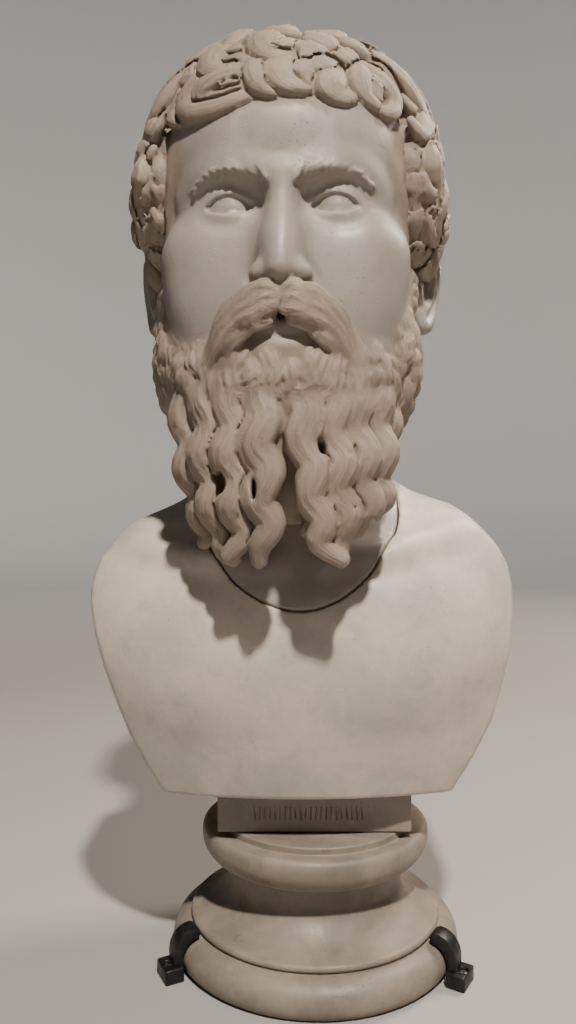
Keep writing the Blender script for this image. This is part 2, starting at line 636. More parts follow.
def hanging_lock(root, tip, radius, phase, steps=26, wave_width=3.3, wave_length=40):
    """A wavy lock that hangs from its root, bedded in the mass, to a thin end that hooks aside."""
    path = []
    hook = 7 * math.copysign(1, math.sin(5 * phase + 1))
    for i in range(steps + 1):
        s = i / steps
        drop = (root[2] - tip[2]) * s
        turn = 2 * math.pi * drop / wave_length * (1 + 0.25 * s) + phase
        wave = math.sin(turn) * wave_width * min(1, 3 * s) + hook * max(0, 8 * (s - 0.875)) ** 2
        bed = 5 * (1 - min(1, 4 * s)) ** 2
        swell = 6 * math.sin(math.pi * s)
        point = np.array((root[0] + (tip[0] - root[0]) * s * s + wave,
                          root[1] + (tip[1] - root[1]) * s - swell + 0.9 * math.cos(turn) + bed,
                          root[2] - drop))
        outward = np.array((point[0] - BEARD_AXIS[0], point[1] - BEARD_AXIS[1], 0))
        thick = radius * (0.8 + 0.32 * math.sin(math.pi * (0.1 + 0.7 * s))) * (1 - 0.5 * s ** 5)
        path.append((point, thick, outward / np.linalg.norm(outward)))
    return path


def beard_front(x):
    """How far forward the beard's middle locks hang."""
    return -97 + 31 * (x / 62) ** 2


def beard_locks():
    """Locks along the jaw and under the chin on both sides, and then those that hang in front."""
    locks = []
    for side in (-1, 1):
        for i in range(3):
            back = -46 + 18 * i
            root, tip = (3 + 62 * side, back, -84), (3 + 54 * side, back - 8, -168 + 16 * i)
            locks.append(hanging_lock(root, tip, 9, i))
            x, y = 4 + (20 + 15 * i) * side, -70 + 2 * i
            locks.append(hanging_lock((x, y, -108), (x, y - 4, -196 + 8 * i), 10, 2 * i + side))
    for i, (x, tip_x, tip_z) in enumerate(BEARD_LOCKS):
        y = beard_front(x)
        locks.append(hanging_lock((x, y, -94), (tip_x, y - 4, tip_z), 9.3, 0.7 * i + 0.5 * stray(i)))
    return locks


def tufts(surface, round_radius, tilts, azimuths, spacing, length, radius, seed, bare=None):
    """Rows of short tufts over an egg, the lowest row first."""
    made = []
    n = seed
    rows = int((tilts[1] - tilts[0]) * math.pi / 180 * round_radius / spacing)
    for row in reversed(range(rows + 1)):
        tilt = math.radians(tilts[0] + (tilts[1] - tilts[0]) * row / rows)
        around = abs(azimuths[1] - azimuths[0]) * math.pi / 180 * round_radius * math.sin(tilt)
        count = max(1, round(around / spacing))
        for i in range(count):
            n += 1
            share = i + 0.5 * (row % 2) + 0.3 * stray(n)
            azimuth = azimuths[0] + (azimuths[1] - azimuths[0]) * share / count
            path = curl(surface, round_radius, math.radians(azimuth), tilt + 0.05 * stray(n + 0.3),
                        length * (1 + 0.2 * stray(n + 0.1)), radius * (1 + 0.15 * stray(n + 0.6)),
                        0.7 * stray(n + 0.2), 2.2 if stray(n + 0.7) > 0 else -2.2, 2.5, steps=7)
            if bare is None or not bare(*path[3][0]):
                made.append(path)
    return made


def near_mouth(x, _, z):
    return abs(x) < 27 and z > -97


def tufts_on_both_sides(form, round_radius, tilts, azimuths, spacing, length, radius, seed, step, bare=None):
    made = []
    for surface, side in zip(both_sides(*form), (1, -1)):
        made += tufts(surface, round_radius, tilts, [a * side for a in azimuths], spacing, length, radius,
                      seed + step * side, bare)
    return made


def beard_tufts():
    made = tufts_on_both_sides(WHISKERS, *TUFTS["whiskers"])
    made += tufts_on_both_sides(JOWLS, *TUFTS["jowls"], near_mouth)
    made += tufts_on_both_sides(SIDEBURN, *TUFTS["sideburns"])
    return made + tufts(BEARD, *BEARD_TUFTS, near_mouth)


def moustache_locks():
    """Thin wavy locks side by side, combed outwards and down along the moustache."""
    made = []
    n = 2000
    for points in MOUSTACHE:
        for half in both_strands(points):
            run = spline(half, 4)
            for start in reversed(range(0, len(run) - 5, 4)):
                for lane in (-0.8, -0.3, 0.2, 0.7):
                    n += 1
                    path = []
                    for k, (x, y, z, radius) in enumerate(run[start:start + 9]):
                        s = k / 8
                        outward = np.array((x * 0.012, -1, 0.6 * lane))
                        outward /= np.linalg.norm(outward)
                        wave = 1.3 * math.sin(5 * s + 2 * stray(n))
                        point = np.array((x, y, z + lane * radius * 1.1 + wave)) + outward * radius * 0.75
                        path.append((point + outward * math.sin(math.pi * s), 3.0 * taper(s), outward))
                    made.append(path)
    return made


def ear_points(points, side):
    """Points of the ear's plane, in the head's frame."""
    placed = []
    for back, up, radius in points:
        placed.append((side * (EAR_AT[0] + back * math.sin(EAR_TURN)), EAR_AT[1] + back * math.cos(EAR_TURN),
                       EAR_AT[2] + up, radius))
    return placed


def carve_ear(stone, side):
    out = np.array((math.cos(EAR_TURN), -math.sin(EAR_TURN)))
    for back, up, tall in EAR_FLESH:
        x, y, z, _ = ear_points([(back, up, 0)], side)[0]
        stone.melt_egg((x - side * 4 * out[0], y - 4 * out[1], z), (7, 8, tall), 5)
    stone.melt_strand(spline(ear_points(ANTIHELIX, side)), 3)
    x, y, z, _ = ear_points([EAR_BOWL["at"]], side)[0]
    bowl = (x + side * EAR_BOWL["out"] * out[0], y + EAR_BOWL["out"] * out[1], z)
    stone.carve_egg(bowl, EAR_BOWL["size"], 3)
    stone.melt_strand(spline(ear_points(HELIX, side)), 2.2)
    stone.melt_strand(spline(ear_points(TRAGUS, side)), 3)


def carve_eye(stone, side):
    """An eyeball under its lids: a thin shell over it, open in an almond."""
    at, half = (side * EYE_AT[0], *EYE_AT[1:]), LID["half"]
    ball = [EYE_RADIUS] * 3
    reach = EYE_RADIUS + 8
    cut, x, y, z = stone.window([c - reach for c in at], [c + reach for c in at])
    u = (x - at[0]) * side
    u, w = (u * math.cos(EYE_TILT) + (z - at[2]) * math.sin(EYE_TILT),
            (z - at[2]) * math.cos(EYE_TILT) - u * math.sin(EYE_TILT))
    upper = LID["upper"] * np.maximum(1 - ((u + 1.5) / half) ** 2, 0) ** 0.75
    lower = -LID["lower"] * np.maximum(1 - ((u - 1.5) / half) ** 2, 0) ** 0.85
    opening = np.maximum(np.maximum(w - upper, lower - w), np.abs(u) - half)
    opening = np.maximum(opening * 0.8, y - at[1] + EYE_RADIUS - LID["deep"])
    shell = carve(egg(x, y, z, at, [s + LID["thick"] for s in ball]), opening, LID["edge"])
    stone.lay(cut, shell, 5)
    stone.take(cut, opening, LID["edge"])
    stone.lay(cut, egg(x, y, z, at, ball), 0.8)


def work_pair(work, at, size, width, **more):
    """Melts or carves an egg on both sides of a stone."""
    for form in both_sides(at, size):
        work(*form, width, **more)


def work_strands(work, points, width, **more):
    """Melts or carves a smooth strand on both sides of a stone."""
    for half in both_strands(points):
        work(spline(half), width, **more)


def carve_face(stone):
    for form in (CRANIUM, *SKULL):
        stone.melt_egg(*form)
    work_strands(stone.melt_strand, JAWBONE, MELT["jawbone"])
    for form in (BEFORE_EAR, CHEEKBONE, CHEEK):
        work_pair(stone.melt_egg, *form)
    work_strands(stone.melt_strand, BROW, MELT["brow"])
    for form in EYE_SOCKETS:
        work_pair(stone.carve_egg, *form)
    work_strands(stone.carve_strand, LID_CREASE, MELT["lid crease"])
    for side in (-1, 1):
        carve_eye(stone, side)
    stone.melt_strand(spline(NOSE), MELT["nose"])
    stone.melt_egg(*NOSE_SIDES)
    work_pair(stone.melt_egg, *NOSE_WING)
    work_strands(stone.carve_strand, WING_CREASE, MELT["wing crease"])
    stone.melt_strand(spline(LOWER_LIP), MELT["lower lip"])
    stone.melt_strand(spline(UPPER_LIP), MELT["upper lip"])
    stone.carve_strand(spline(MOUTH_LINE), MELT["mouth line"])
    work_pair(stone.carve_egg, *NOSTRIL)


def brow_tufts(stone):
    """Short strokes of hair along the brow, combed up and outwards."""
    made = []
    n = 3000
    for points in both_strands(BROW):
        run = spline(points, 3)
        for i in range(len(run) - 2):
            n += 1
            x, z = run[i][0], run[i][2]
            along = run[i + 2] - run[i]
            along = np.array((along[0], along[2])) / math.hypot(along[0], along[2])
            rise = 1.3 - 0.9 * i / len(run) + 0.2 * stray(n)
            path = []
            for k in range(5):
                s = k / 4
                px, pz = x + 8 * s * along[0], z - 5 + 8 * s * (along[1] + rise - 0.3 * s)
                path.append((px, stone.front(px, pz) - 0.2 + s * s, pz, 1.8 * taper(s)))
            made.append(path)
    return made


def head_frame():
    return Matrix.Translation(HEAD_AT) @ Matrix.Rotation(HEAD_TURN, 4, "Z")


def lean_frame():
    return (Matrix.Translation(LEAN_FOOT) @ Matrix.Rotation(LEAN_ANGLE, 4, "Y")
            @ Matrix.Translation((0, 0, -LEAN_FOOT[2])))


def in_frame(matrix, x, y, z):
    return tuple(matrix[i][0] * x + matrix[i][1] * y + matrix[i][2] * z + matrix[i][3] for i in range(3))


def torso_form(x, y, z):
    form = melt(egg(x, y, z, *TORSO["ribs"]), egg(x, y, z, *TORSO["waist"]), 60)
    for part, width in (("breast", 30), ("shoulder", 24)):
        for side in both_sides(*TORSO[part]):
            form = melt(form, egg(x, y, z, *side), width)
    for part, width in (("collarbone", 14), ("trapezius", 24)):
        for side in both_strands(TORSO[part]):
            form = melt(form, strand(x, y, z, side), width)
    return melt(form, strand(x, y, z, TORSO["neck"]), 34)


def tongue_form(x, y, z, gap=0.0):
    """The neck's tongue: an egg below, and straight up above its middle."""
    at, size = TONGUE["at"], [s + gap for s in TONGUE["size"]]
    below = at[2] + np.minimum(z - at[2], 0)
    return egg(x, y, below, at, size)


def carve_hair(stone):
    """The masses of the hair and beard, which the locks are laid over."""
    cut, x, y, z = stone.everywhere()
    cap = carve(egg(x, y, z, *HAIR_CAP), egg(x, y, z, *FACE_WINDOW), 8)
    for window in both_sides(*EAR_WINDOW):
        cap = carve(cap, egg(x, y, z, *window), 8)
    stone.lay(cut, cap, 4, hair=True)
    work_pair(stone.melt_egg, *TEMPLE_HAIR, 5, hair=True)
    for form in (SIDEBURN, JOWLS, WHISKERS):
        work_pair(stone.melt_egg, *form, 8, hair=True)
    stone.melt_egg(*BEARD, 8, hair=True)


def carve_locks(stone):
    for points in MOUSTACHE:
        work_strands(stone.melt_strand, points, 3, hair=True)
    for n, path in enumerate(hair_curls()):
        stone.melt_lock(path, *LAY["curl"])
        for thin in parted(path, 2 + n % 2, 1.0, n):
            stone.melt_lock(thin, *LAY["strands of a curl"])
    for n, path in enumerate(beard_locks()):
        stone.melt_lock(path, *LAY["beard"])
        for thin in parted(path, 3, 0.95, n):
            stone.melt_lock(thin, *LAY["strands of the beard"])
    for x, z, wide, tall in DRILLED:
        stone.carve_egg((x, beard_front(x) - 10, z), (wide, 9, tall), 4)
    for path in beard_tufts():
        stone.melt_lock(path, *LAY["beard tuft"])
    for path in moustache_locks():
        stone.melt_lock(path, *LAY["moustache"])
    for path in brow_tufts(stone):
        stone.melt_strand(path, 0.5)


def carve_head():
    stone = Stone(*HEAD_BLOCK, HEAD_STEP)
    carve_face(stone)
    carve_hair(stone)
    for side in (-1, 1):
        carve_ear(stone, side)
    carve_locks(stone)
    low, high = HEAD_BLOCK
    cut, x, y, z = stone.window(low, (*high[:2], NECK_TOP))
    to_lean = lean_frame().inverted() @ head_frame()
    x, y, z = (c.astype(np.float32) for c in in_frame(to_lean, x, y, z))
    neck = np.maximum(torso_form(x, y, z), tongue_form(x, y, z))
    stone.lay(cut, neck, 8)
    stone.fill_slits(DRILL, 2 * stone.step)
    return stone


# The chest, in the leaning frame of the torso

OUTLINE = np.array((  # height, and how far it reaches to the left and to the right
    (90, 94, 96), (126, 98, 100), (148, 110, 114), (173, 121, 127), (217, 135, 140), (243, 143, 145),
    (262, 147, 147), (276, 147, 146), (290, 143, 140), (304, 134, 130), (336, 108, 104), (620, 108, 104),
))
CHEST_BLOCK, CHEST_STEP = ((-170, -100, 122), (154, 90, 350)), 1.4
CHEST_FACES = 120000
CHEST_BOTTOM = 127
HOLLOW = ((0, 72, 206), (112, 70, 66))
PILLAR = {"width": 58, "back": 62, "top": 290}


def slab_between(value, low, high):
    return np.maximum(low - value, value - high)


def carve_chest():
    stone = Stone(*CHEST_BLOCK, CHEST_STEP)
    cut, x, y, z = stone.everywhere()
    lean = lean_frame().inverted()
    u, v, w = (c.astype(np.float32) for c in in_frame(lean, x, y, z))
    form = torso_form(u, v, w)
    left, right = (np.interp(w, OUTLINE[:, 0], OUTLINE[:, i]).astype(np.float32) for i in (1, 2))
    sides = slab_between(u, -left, right)
    form = carve(form, -sides, 5)
    form = carve(form, z - CHEST_BOTTOM, 3)
    form = carve(form, egg(u, v, w, *HOLLOW), 5)
    half = PILLAR["width"] / 2
    pillar = np.maximum(slab_between(u, -half, half), slab_between(v, 0, PILLAR["back"]))
    pillar = np.maximum(np.maximum(pillar, w - PILLAR["top"]), CHEST_BOTTOM - z)
    form = melt(form, pillar, 6)
    stone.form[cut] = carve(form, tongue_form(u, v, w, SEAM), 1.6)
    return stone


def add_carved(name, stone, matrix, faces):
    """Meshes a carved block, thins it, and keeps how hollow it is."""
    mesh = stone.mesh(name, matrix)
    piece = bpy.data.objects.new(name, mesh)
    bpy.context.collection.objects.link(piece)
    choose(piece)
    whole = 2 * len(mesh.polygons)
    if whole > faces:
        apply_modifier(piece, "DECIMATE", ratio=faces / whole)
    bpy.ops.object.shade_smooth()
    stone.measure(piece.data, matrix)
    return piece


# The tablet, socle, clips and screws, modelled with Blender's own operators

FOOT_CURVES = (  # each curve's steps and the points that it is drawn to, from where the last one ended
    (22, (106.8, 6), (106.6, 21), (92.6, 23.7)),
    (3, (90.2, 24.2), (89.4, 24.3)),
)
STEM_CURVES = (  # the same, from the bead over the foot up to the rim under the tablet
    (3, (87.5, 30), (86, 30.4)),
    (20, (74, 34), (62.5, 43), (62.5, 54)),
    (2, (62.5, 61)),
    (5, (62.5, 67), (66, 67)),
    (14, (76.5, 67), (83.5, 75), (83.5, 85)),
    (7, (83.6, 91.4), (79.5, 91.7)),
    (4, (70.9, 91.1)),
    (3, (69.8, 90.9), (69.8, 92)),
)
STROKE_TILT = 0.13


def choose(piece):
    if bpy.context.object and bpy.context.object.mode != "OBJECT":
        bpy.ops.object.mode_set(mode="OBJECT")
    bpy.ops.object.select_all(action="DESELECT")
    piece.select_set(True)
    bpy.context.view_layer.objects.active = piece


def settle(piece, name):
    """Puts the place of a piece in its mesh."""
    choose(piece)
    bpy.ops.object.transform_apply(location=True, rotation=True, scale=True)
    piece.name = piece.data.name = name
    return piece


def apply_modifier(piece, kind, **settings):
    choose(piece)
    modifier = piece.modifiers.new(kind.lower(), kind)
    for key, value in settings.items():
        setattr(modifier, key, value)
    bpy.ops.object.modifier_apply(modifier=modifier.name)


def add_block(low, high):
    """A block between two corners, in millimetres."""
    middle = [(a + b) / 2 * MM for a, b in zip(low, high)]
    bpy.ops.object.select_all(action="DESELECT")
    bpy.ops.mesh.primitive_cube_add(size=1, location=middle)
    block = bpy.context.object
    block.scale = [(b - a) * MM for a, b in zip(low, high)]
    return settle(block, "block")


def draw_along(profile):
    """Draws what is selected in edit mode from each radius and height of a profile to the next."""
    for (r, z), (next_r, next_z) in zip(profile, profile[1:]):
        bpy.ops.mesh.extrude_region_move(TRANSFORM_OT_translate={"value": (0, 0, (next_z - z) * MM)})
        bpy.ops.transform.resize(value=(next_r / r, next_r / r, 1), center_override=(0, 0, next_z * MM))


def add_turned(profile, around):
    """A turned solid: a disc, drawn up and scaled to each radius of its profile."""
    radius, height = profile[0]
    bpy.ops.object.select_all(action="DESELECT")
    bpy.ops.mesh.primitive_circle_add(vertices=around, radius=radius * MM, fill_type="NGON",
                                      location=(0, 0, height * MM))
    bpy.ops.object.mode_set(mode="EDIT")
    draw_along(profile)
    bpy.ops.mesh.select_all(action="SELECT")
    bpy.ops.mesh.remove_doubles(threshold=1e-6)
    bpy.ops.mesh.normals_make_consistent(inside=False)
    bpy.ops.object.mode_set(mode="OBJECT")
    return bpy.context.object


def bezier(points, steps):
    """Points along a curve of two to four control points, without the first."""
    path = []
    for i in range(1, steps + 1):
        row = [np.array(p, dtype=float) for p in points]
        while len(row) > 1:
            row = [a + (b - a) * i / steps for a, b in zip(row, row[1:])]
        path.append(tuple(row[0]))
    return path


def socle_profile():
    """Radii and heights from the middle of the underside, up its mouldings, to the middle of the top."""
    path = [(1, 0), (60, 0), (99, 0), (100.2, 0.3), (100.9, 1.2)]
    for steps, *points in FOOT_CURVES:
        path += bezier((path[-1], *points), steps)
    path += [(89 + 2.6 * math.sin(a), 27 - 2.6 * math.cos(a)) for a in np.linspace(0.2, math.pi - 0.35, 12)]
    for steps, *points in STEM_CURVES:
        path += bezier((path[-1], *points), steps)
    path += [(69.8, 94.4)]
    path += bezier((path[-1], (69.8, 96), (68.2, 96)), 5)
    return path + [(50, 96), (25, 96), (1, 96)]


def add_strokes(count, low, high, face):
    """A row of shallow strokes, each a bar on its edge, to be cut into the tablet's front."""
    strokes = []
    for i in range(count):
        x = low[0] + (high[0] - low[0]) * (i + 0.5) / count
        height = (high[1] - low[1]) * (0.8 + 0.15 * stray(i + 0.4))
        bpy.ops.object.select_all(action="DESELECT")
        bpy.ops.mesh.primitive_cube_add(size=MM, location=(x * MM, face * MM, (low[1] + high[1]) / 2 * MM),
                                        rotation=(0, STROKE_TILT * stray(3 * i), math.radians(45)))
        stroke = bpy.context.object
        stroke.scale = (1.0, 1.0, height)
        strokes.append(settle(stroke, "stroke"))
    choose(strokes[0])
    for stroke in strokes:
        stroke.select_set(True)
    bpy.ops.object.join()
    return bpy.context.object


def cut_away(piece, tool):
    apply_modifier(piece, "BOOLEAN", object=tool, operation="DIFFERENCE", solver="EXACT")
    bpy.data.objects.remove(tool)


def add_section(name, section, width):
    """A bar of one section, given as radius and height, as wide as told."""
    mesh = bpy.data.meshes.new(name)
    mesh.from_pydata([(r * MM, -width / 2 * MM, z * MM) for r, z in section], [], [range(len(section))])
    bar = bpy.data.objects.new(name, mesh)
    bpy.context.collection.objects.link(bar)
    choose(bar)
    bpy.ops.object.mode_set(mode="EDIT")
    bpy.ops.mesh.select_all(action="SELECT")
    bpy.ops.mesh.extrude_region_move(TRANSFORM_OT_translate={"value": (0, width * MM, 0)})
    bpy.ops.mesh.select_all(action="SELECT")
    bpy.ops.mesh.normals_make_consistent(inside=False)
    bpy.ops.object.mode_set(mode="OBJECT")
    return bar


def turn_about_socle(piece, azimuth, name):
    piece.rotation_euler = (0, 0, azimuth)
    return settle(piece, name)


def measure_folds(piece, rounds=6):
    """Keeps how hollow a modelled piece is at each vertex, as the carved ones do."""
    mesh = piece.data
    ends = np.empty(len(mesh.edges) * 2, dtype=np.int32)
    mesh.edges.foreach_get("vertices", ends)
    ends = ends.reshape(-1, 2)
    where, normals = vertex_values(mesh, "co") / MM, vertex_values(mesh, "normal")
    a, b = np.concatenate([ends, ends[:, ::-1]]).T
    along = where[b] - where[a]
    bend = (along * normals[a]).sum(axis=1) / np.maximum(np.linalg.norm(along, axis=1), 0.2)
    count = np.maximum(np.bincount(a, minlength=len(where)), 1)
    hollow = np.bincount(a, bend, minlength=len(where)) / count
    for label, times in (("hollow_fine", 1), ("hollow_wide", rounds)):
        for _ in range(times):
            hollow = (hollow + np.bincount(a, hollow[b], minlength=len(where)) / count) / 2
        keep_values(mesh, label, 0.5 + 0.5 * np.clip(hollow, -1, 1))
    keep_values(mesh, "hair", np.zeros(len(where)))


# Finishes

class Finish:
    """A material and its nodes."""

    def __init__(self, name):
        self.material = bpy.data.materials.new(name)
        self.material.use_nodes = True
        self.tree = self.material.node_tree
        self.surface = self.tree.nodes["Principled BSDF"]
        self.place = self.add("ShaderNodeTexCoord").outputs["Object"]

    def add(self, kind, inputs=(), **settings):
        node = self.tree.nodes.new(kind)
        for key, value in settings.items():
            setattr(node, key, value)
        for socket, value in dict(inputs).items():
            self.put(node.inputs[socket], value)
        return node

    def put(self, socket, value):
        """Links another node's value to a socket, or sets a plain one on it."""
        if isinstance(value, bpy.types.NodeSocket):
            self.tree.links.new(value, socket)
        else:
            socket.default_value = value

    def show(self, **inputs):
        """Gives the surface its inputs, each by its name with underscores for spaces."""
        for name, value in inputs.items():
            self.put(self.surface.inputs[name.replace("_", " ")], value)

    def noise(self, scale, detail=4.0, roughness=0.55, distortion=0.0, stretch=(1, 1, 1)):
        place = self.add("ShaderNodeMapping", {"Vector": self.place, "Scale": stretch}).outputs["Vector"]
        return self.add("ShaderNodeTexNoise", {
            "Vector": place, "Scale": scale, "Detail": detail, "Roughness": roughness,
            "Distortion": distortion}).outputs["Fac"]

    def kept(self, label):
        """What a piece keeps at its vertices under a label."""
        return self.add("ShaderNodeAttribute", attribute_name=label).outputs["Fac"]

    def strands(self, across, along):
        """Fine strands that follow each lock, so many millimetres wide and long."""
        run = self.add("ShaderNodeAttribute", attribute_name="strand_run").outputs["Vector"]
        place = self.add("ShaderNodeMapping", {"Vector": run, "Scale": (1 / across, 1 / along, 3.7)})
        return self.add("ShaderNodeTexNoise", {
            "Vector": place.outputs["Vector"], "Scale": 1.0, "Detail": 3.0, "Roughness": 0.6,
            "Distortion": 0.3}).outputs["Fac"]

    def between(self, value, low, high, bottom=0.0, top=1.0):
        """A soft step from one value to another, while the first goes from low to high."""
        return self.add("ShaderNodeMapRange", {
            "Value": value, "From Min": low, "From Max": high, "To Min": bottom, "To Max": top},
            interpolation_type="SMOOTHSTEP").outputs["Result"]

    def times(self, a, b):
        return self.add("ShaderNodeMath", {0: a, 1: b}, operation="MULTIPLY").outputs[0]

    def plus(self, a, b):
        return self.add("ShaderNodeMath", {0: a, 1: b}, operation="ADD", use_clamp=True).outputs[0]

    def mixed(self, share, a, b):
        node = self.add("ShaderNodeMix", data_type="RGBA")
        for index, value in ((0, share), (6, a), (7, b)):
            self.put(node.inputs[index], value)
        return node.outputs[2]

    def bumped(self, height, strength, depth, under=None):
        inputs = {"Height": height, "Strength": strength, "Distance": depth}
        if under:
            inputs["Normal"] = under
        return self.add("ShaderNodeBump", inputs).outputs["Normal"]


def tone(colour, brightness=1.0):
    return (*(c * brightness for c in colour[:3]), 1.0)


SOOT = (0.125, 0.117, 0.103)
FLECK = (0.11, 0.065, 0.042)
DUST = (0.035, 0.033, 0.031)


def marble(name, colours, light, cloud, dirt_share=1.0, polish=0.42, clouds=16.0, stains=0.1, foot=0.0):
    """Stone with grey clouds, aged hair, dirt in its hollows, stains and flecks, and a dark foot."""
    f = Finish(name)
    patina, dirt = colours.patina, colours.dirt
    hair = f.kept("hair")
    fine, wide = f.kept("hollow_fine"), f.kept("hollow_wide")
    strands = f.strands(1.5, 14.0)
    colour = f.mixed(f.between(f.noise(clouds, 5, 0.6, 0.6), 0.38, 0.68), tone(light), tone(cloud))
    colour = f.mixed(f.times(f.between(f.noise(90, 4, 0.6), 0.45, 0.75), 0.35), colour, tone(cloud, 0.85))
    aged = f.mixed(f.between(f.noise(22, 4), 0.35, 0.65), tone(patina), tone(patina, 0.78))
    aged = f.mixed(f.times(f.between(strands, 0.52, 0.34), 0.18), aged, tone(patina, 0.6))
    colour = f.mixed(hair, colour, aged)
    lowland = f.plus(f.times(f.between(wide, 0.52, 0.9), 0.45), f.times(f.between(fine, 0.56, 0.84), 0.5))
    stain = f.times(lowland, f.between(f.noise(60, 5, 0.65), 0.25, 0.7, 0.55, 1.0))
    colour = f.mixed(f.times(stain, dirt_share), colour, tone(dirt))
    soot = f.between(f.noise(24, 7, 0.76, 0.6), 0.44, 0.62)
    colour = f.mixed(f.times(soot, stains), colour, tone(SOOT))
    spots = f.add("ShaderNodeTexVoronoi", {"Vector": f.place, "Scale": 26.0}).outputs["Distance"]
    flecks = f.times(f.between(spots, 0.15, 0.07), f.between(f.noise(75, 4, 0.7), 0.48, 0.6))
    colour = f.mixed(f.times(flecks, min(1.0, 1.3 * stains)), colour, tone(FLECK))
    if foot:
        height = f.add("ShaderNodeSeparateXYZ", {"Vector": f.place}).outputs["Z"]
        colour = f.mixed(f.times(f.between(height, foot, 0.0), 0.8), colour, tone(dirt, 0.7))
    worn = f.times(f.between(fine, 0.46, 0.3), 0.35)
    colour = f.mixed(worn, colour, tone(light))
    cells = f.add("ShaderNodeTexVoronoi", {"Vector": f.place, "Scale": 300.0}).outputs["Distance"]
    pits = f.times(f.between(cells, 0.17, 0.07), f.between(f.noise(30, 3), 0.5, 0.66))
    colour = f.mixed(f.times(pits, 0.35), colour, tone(dirt))
    rough = f.between(f.noise(70, 4), 0.3, 0.7, polish - 0.06, polish + 0.1)
    grain = f.bumped(f.noise(900, 3, 0.6), 0.25, 0.0004)
    waves = f.bumped(f.noise(110, 4, 0.55), 0.35, 0.0006, grain)
    combed = f.bumped(f.times(strands, hair), 0.5, 0.0015, waves)
    f.show(Base_Color=colour, Roughness=f.plus(rough, f.times(f.plus(hair, stain), 0.16)),
           Normal=f.bumped(f.times(pits, -1.0), 0.6, 0.0008, combed), Specular_IOR_Level=0.45,
           Subsurface_Weight=0.12, Subsurface_Radius=(1.0, 0.75, 0.55), Subsurface_Scale=0.003)
    return f.material


def black_rubber(name, colour):
    f = Finish(name)
    dust = f.times(f.between(f.noise(180, 4), 0.45, 0.7), 0.3)
    f.show(Base_Color=f.mixed(dust, tone(colour), tone(DUST)), Specular_IOR_Level=0.35,
           Roughness=f.between(f.noise(260, 3), 0.3, 0.7, 0.36, 0.55),
           Normal=f.bumped(f.noise(1500, 2), 0.15, 0.0002))
    return f.material


def bright_steel(name, colour):
    f = Finish(name)
    rings = f.noise(500, 3, 0.6, 0.0, (1, 1, 6))
    f.show(Metallic=1.0, Base_Color=f.mixed(f.between(rings, 0.3, 0.7), tone(colour), tone(colour, 0.75)),
           Roughness=f.between(rings, 0.3, 0.7, 0.22, 0.4), Normal=f.bumped(rings, 0.2, 0.0001))
    return f.material


def dress(piece, material, node):
    piece.data.materials.clear()
    piece.data.materials.append(material)
    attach(piece, "root")
    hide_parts(node)


# What a user would change

def colour_property(name, description, value):
    return bpy.props.FloatVectorProperty(name=name, description=description, subtype="COLOR", size=3, min=0,
                                         max=1, default=value)


def length_property(name, description, value):
    return bpy.props.FloatProperty(name=name, description=description, unit="LENGTH", subtype="DISTANCE",
                                   default=value, min=0, precision=4)


class BustMarble(bpy.types.PropertyGroup):
    light: colour_property("Light marble", "Colour of the clean stone", (0.56, 0.485, 0.405))
    cloud: colour_property("Clouds", "Colour of the grey clouds in the stone", (0.43, 0.395, 0.345))
    face: colour_property("Face", "Colour of the polished face and neck", (0.27, 0.23, 0.192))
    patina: colour_property("Patina", "Colour of the aged surface in hair and beard", (0.28, 0.223, 0.164))
    dirt: colour_property("Dirt", "Colour of what has settled in the hollows", (0.13, 0.09, 0.06))
    tablet: colour_property("Tablet", "Colour of the name tablet's stone", (0.27, 0.225, 0.18))
    socle: colour_property("Socle", "Colour of the socle's stone", (0.26, 0.216, 0.169))


class BustSizes(bpy.types.PropertyGroup):
    tablet_width: length_property("Tablet width", "Width of the tablet", 0.135)
    tablet_depth: length_property("Tablet depth", "Depth of the tablet", 0.089)
    tablet_edge: length_property("Tablet edge", "How far the tablet's edges are rounded", 0.0014)
    strokes: bpy.props.IntProperty(name="Strokes", description="Shallow strokes in the tablet's row",
                                   default=22, min=0, max=60)
    clip_width: length_property("Clip width", "Width of a clip's arm", 0.013)
    clip_block: length_property("Clip block", "Width of a clip's block", 0.020)
    screw_radius: length_property("Screw radius", "Radius of a screw's head", 0.0028)
    socle_sides: bpy.props.IntProperty(name="Socle facets", description="Facets round the turned socle",
                                       default=144, min=24, max=256)


class BustStage(bpy.types.PropertyGroup):
    floor: colour_property("Floor", "Colour of the studio floor", (0.34, 0.328, 0.313))
    wall: colour_property("Wall", "Colour of the studio wall", (0.88, 0.87, 0.85))
    air: colour_property("Fill light", "Colour of the light from all round", (0.80, 0.83, 0.88))
    fill: bpy.props.FloatProperty(name="Fill", description="Strength of the light from all round",
                                  default=0.045, min=0)
    key: bpy.props.FloatProperty(name="Key", description="Power of the main lamp", unit="POWER",
                                 default=100, min=0)
    lens: bpy.props.FloatProperty(name="Lens", description="Focal length", unit="CAMERA", default=28.125,
                                  min=1)


CLIP_AZIMUTHS = {"left": math.radians(207), "right": math.radians(328.5)}
CLIP_SECTION = (
    (105.8, 0), (105.8, 7), (105.8, 13), (104.9, 17), (103.2, 20.8), (100.4, 23.6), (97.4, 24.9),
    (94.2, 25.4), (93.6, 27), (93.4, 29.2), (94.2, 31.2), (97, 32.4), (101, 32), (104, 30.8), (107, 28.8),
    (109.4, 26), (111.2, 22), (112, 18), (112, 9), (112, 0),
)
CLIP_FOOT = {"from": 106.2, "to": 119.5, "height": 10}
CLIP_HOLE = {"radius": 3.4, "rim": 4.4, "rim_from": 0.8}
SCREW = {"at": 115.4, "seat": 7.0, "shoulder": 1.0, "head": 1.8, "slot": 0.8, "slot_deep": 0.9}
TABLET_AT = (-1.5, 0)
TABLET_HEIGHTS = (96.4, 129.5)
STROKE_ROW = ((-45, 104.5), (33, 115))

